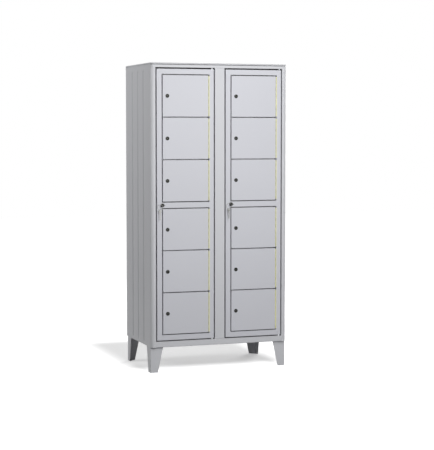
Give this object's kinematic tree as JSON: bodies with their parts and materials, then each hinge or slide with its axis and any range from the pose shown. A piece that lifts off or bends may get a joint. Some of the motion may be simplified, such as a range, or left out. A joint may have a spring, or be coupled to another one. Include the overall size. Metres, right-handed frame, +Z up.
{
  "type": "phone locker cabinet",
  "caption": "Floor-standing steel cabinet with columns of small locked phone compartments, set in tall framed service doors, on tapered legs.",
  "frame": {"origin": "centre of the overall box's bottom face, on the floor", "axes": "+Z up, +X to the right of a person who faces the front, the front faces -Y"},
  "size_m": [0.84, 0.5592, 1.8],
  "materials": {
    "body_paint": "fine-textured light grey powder coat",
    "door_paint": "fine-textured light grey powder coat",
    "hinge_plate": "pale yellow zinc plate",
    "lock_metal": "dark tarnished nickel plate",
    "zinc_plate": "bright zinc plate",
    "key_grip": "fine-grained black",
    "key_metal": "nickel plate"
  },
  "bodies": {
    "cabinet": {"side_panel_left": "body_paint", "side_panel_right": "body_paint", "top_panel": "body_paint", "bottom_panel": "body_paint", "back_panel": "body_paint", "centre_post": "body_paint", "centre_partition": "body_paint", "shelves": "body_paint", "legs": "body_paint", "leg_bolts": "zinc_plate", "pivot_pins": "zinc_plate"},
    "service_door_left": {"service_door_left": "body_paint", "hinge_strips_left": "hinge_plate", "service_lock_left": "lock_metal"},
    "service_lock_turn_left": {"service_cam_left": "lock_metal", "service_key_left": "key_grip"},
    "spare_key_left": {"spare_key_left": "key_metal"},
    "small_door_left_1": {"small_door_left_1": "door_paint", "door_lock_left_1": "lock_metal"},
    "door_cam_left_1": {"door_cam_left_1": "lock_metal"},
    "small_door_left_2": {"small_door_left_2": "door_paint", "door_lock_left_2": "lock_metal"},
    "door_cam_left_2": {"door_cam_left_2": "lock_metal"},
    "small_door_left_3": {"small_door_left_3": "door_paint", "door_lock_left_3": "lock_metal"},
    "door_cam_left_3": {"door_cam_left_3": "lock_metal"},
    "small_door_left_4": {"small_door_left_4": "door_paint", "door_lock_left_4": "lock_metal"},
    "door_cam_left_4": {"door_cam_left_4": "lock_metal"},
    "small_door_left_5": {"small_door_left_5": "door_paint", "door_lock_left_5": "lock_metal"},
    "door_cam_left_5": {"door_cam_left_5": "lock_metal"},
    "small_door_left_6": {"small_door_left_6": "door_paint", "door_lock_left_6": "lock_metal"},
    "door_cam_left_6": {"door_cam_left_6": "lock_metal"},
    "service_door_right": {"service_door_right": "body_paint", "hinge_strips_right": "hinge_plate", "service_lock_right": "lock_metal"},
    "service_lock_turn_right": {"service_cam_right": "lock_metal", "service_key_right": "key_grip"},
    "spare_key_right": {"spare_key_right": "key_metal"},
    "small_door_right_1": {"small_door_right_1": "door_paint", "door_lock_right_1": "lock_metal"},
    "door_cam_right_1": {"door_cam_right_1": "lock_metal"},
    "small_door_right_2": {"small_door_right_2": "door_paint", "door_lock_right_2": "lock_metal"},
    "door_cam_right_2": {"door_cam_right_2": "lock_metal"},
    "small_door_right_3": {"small_door_right_3": "door_paint", "door_lock_right_3": "lock_metal"},
    "door_cam_right_3": {"door_cam_right_3": "lock_metal"},
    "small_door_right_4": {"small_door_right_4": "door_paint", "door_lock_right_4": "lock_metal"},
    "door_cam_right_4": {"door_cam_right_4": "lock_metal"},
    "small_door_right_5": {"small_door_right_5": "door_paint", "door_lock_right_5": "lock_metal"},
    "door_cam_right_5": {"door_cam_right_5": "lock_metal"},
    "small_door_right_6": {"small_door_right_6": "door_paint", "door_lock_right_6": "lock_metal"},
    "door_cam_right_6": {"door_cam_right_6": "lock_metal"}
  },
  "joints": [
    {"name": "service_door_left_swing", "type": "hinge", "parent": "cabinet", "child": "service_door_left", "pos_m": [-0.0455, -0.24118, 0.978], "axis": [0, 0, -1], "range_deg": [-115, 0]},
    {"name": "service_lock_left_turn", "type": "hinge", "parent": "service_door_left", "child": "service_lock_turn_left", "pos_m": [-0.35125, -0.25042, 0.978], "axis": [0, -1, 0], "range_deg": [0, 90]},
    {"name": "spare_key_left_slip", "type": "hinge", "parent": "service_lock_turn_left", "child": "spare_key_left", "pos_m": [-0.37066, -0.27042, 0.96815], "axis": [0, -1, 0], "range_deg": [-90, 0]},
    {"name": "small_door_left_1_swing", "type": "hinge", "parent": "service_door_left", "child": "small_door_left_1", "pos_m": [-0.0668, -0.25082, 1.60967], "axis": [0, 0, 1], "range_deg": [0, 120]},
    {"name": "door_lock_left_1_turn", "type": "hinge", "parent": "small_door_left_1", "child": "door_cam_left_1", "pos_m": [-0.32, -0.25042, 1.60967], "axis": [0, -1, 0], "range_deg": [0, 90]},
    {"name": "small_door_left_2_swing", "type": "hinge", "parent": "service_door_left", "child": "small_door_left_2", "pos_m": [-0.0668, -0.25082, 1.3645], "axis": [0, 0, 1], "range_deg": [0, 120]},
    {"name": "door_lock_left_2_turn", "type": "hinge", "parent": "small_door_left_2", "child": "door_cam_left_2", "pos_m": [-0.32, -0.25042, 1.3645], "axis": [0, -1, 0], "range_deg": [0, 90]},
    {"name": "small_door_left_3_swing", "type": "hinge", "parent": "service_door_left", "child": "small_door_left_3", "pos_m": [-0.0668, -0.25082, 1.11933], "axis": [0, 0, 1], "range_deg": [0, 120]},
    {"name": "door_lock_left_3_turn", "type": "hinge", "parent": "small_door_left_3", "child": "door_cam_left_3", "pos_m": [-0.32, -0.25042, 1.11933], "axis": [0, -1, 0], "range_deg": [0, 90]},
    {"name": "small_door_left_4_swing", "type": "hinge", "parent": "service_door_left", "child": "small_door_left_4", "pos_m": [-0.0668, -0.25082, 0.83667], "axis": [0, 0, 1], "range_deg": [0, 120]},
    {"name": "door_lock_left_4_turn", "type": "hinge", "parent": "small_door_left_4", "child": "door_cam_left_4", "pos_m": [-0.32, -0.25042, 0.83667], "axis": [0, -1, 0], "range_deg": [0, 90]},
    {"name": "small_door_left_5_swing", "type": "hinge", "parent": "service_door_left", "child": "small_door_left_5", "pos_m": [-0.0668, -0.25082, 0.5915], "axis": [0, 0, 1], "range_deg": [0, 120]},
    {"name": "door_lock_left_5_turn", "type": "hinge", "parent": "small_door_left_5", "child": "door_cam_left_5", "pos_m": [-0.32, -0.25042, 0.5915], "axis": [0, -1, 0], "range_deg": [0, 90]},
    {"name": "small_door_left_6_swing", "type": "hinge", "parent": "service_door_left", "child": "small_door_left_6", "pos_m": [-0.0668, -0.25082, 0.34633], "axis": [0, 0, 1], "range_deg": [0, 120]},
    {"name": "door_lock_left_6_turn", "type": "hinge", "parent": "small_door_left_6", "child": "door_cam_left_6", "pos_m": [-0.32, -0.25042, 0.34633], "axis": [0, -1, 0], "range_deg": [0, 90]},
    {"name": "service_door_right_swing", "type": "hinge", "parent": "cabinet", "child": "service_door_right", "pos_m": [0.3755, -0.24118, 0.978], "axis": [0, 0, -1], "range_deg": [-115, 0]},
    {"name": "service_lock_right_turn", "type": "hinge", "parent": "service_door_right", "child": "service_lock_turn_right", "pos_m": [0.06975, -0.25042, 0.978], "axis": [0, -1, 0], "range_deg": [0, 90]},
    {"name": "spare_key_right_slip", "type": "hinge", "parent": "service_lock_turn_right", "child": "spare_key_right", "pos_m": [0.05034, -0.27042, 0.96815], "axis": [0, -1, 0], "range_deg": [-90, 0]},
    {"name": "small_door_right_1_swing", "type": "hinge", "parent": "service_door_right", "child": "small_door_right_1", "pos_m": [0.3542, -0.25082, 1.60967], "axis": [0, 0, 1], "range_deg": [0, 120]},
    {"name": "door_lock_right_1_turn", "type": "hinge", "parent": "small_door_right_1", "child": "door_cam_right_1", "pos_m": [0.101, -0.25042, 1.60967], "axis": [0, -1, 0], "range_deg": [0, 90]},
    {"name": "small_door_right_2_swing", "type": "hinge", "parent": "service_door_right", "child": "small_door_right_2", "pos_m": [0.3542, -0.25082, 1.3645], "axis": [0, 0, 1], "range_deg": [0, 120]},
    {"name": "door_lock_right_2_turn", "type": "hinge", "parent": "small_door_right_2", "child": "door_cam_right_2", "pos_m": [0.101, -0.25042, 1.3645], "axis": [0, -1, 0], "range_deg": [0, 90]},
    {"name": "small_door_right_3_swing", "type": "hinge", "parent": "service_door_right", "child": "small_door_right_3", "pos_m": [0.3542, -0.25082, 1.11933], "axis": [0, 0, 1], "range_deg": [0, 120]},
    {"name": "door_lock_right_3_turn", "type": "hinge", "parent": "small_door_right_3", "child": "door_cam_right_3", "pos_m": [0.101, -0.25042, 1.11933], "axis": [0, -1, 0], "range_deg": [0, 90]},
    {"name": "small_door_right_4_swing", "type": "hinge", "parent": "service_door_right", "child": "small_door_right_4", "pos_m": [0.3542, -0.25082, 0.83667], "axis": [0, 0, 1], "range_deg": [0, 120]},
    {"name": "door_lock_right_4_turn", "type": "hinge", "parent": "small_door_right_4", "child": "door_cam_right_4", "pos_m": [0.101, -0.25042, 0.83667], "axis": [0, -1, 0], "range_deg": [0, 90]},
    {"name": "small_door_right_5_swing", "type": "hinge", "parent": "service_door_right", "child": "small_door_right_5", "pos_m": [0.3542, -0.25082, 0.5915], "axis": [0, 0, 1], "range_deg": [0, 120]},
    {"name": "door_lock_right_5_turn", "type": "hinge", "parent": "small_door_right_5", "child": "door_cam_right_5", "pos_m": [0.101, -0.25042, 0.5915], "axis": [0, -1, 0], "range_deg": [0, 90]},
    {"name": "small_door_right_6_swing", "type": "hinge", "parent": "service_door_right", "child": "small_door_right_6", "pos_m": [0.3542, -0.25082, 0.34633], "axis": [0, 0, 1], "range_deg": [0, 120]},
    {"name": "door_lock_right_6_turn", "type": "hinge", "parent": "small_door_right_6", "child": "door_cam_right_6", "pos_m": [0.101, -0.25042, 0.34633], "axis": [0, -1, 0], "range_deg": [0, 90]}
  ],
  "couplings": [
    {"joint": "spare_key_left_slip", "follows": "service_lock_left_turn", "ratio": -1},
    {"joint": "spare_key_right_slip", "follows": "service_lock_right_turn", "ratio": -1}
  ]
}
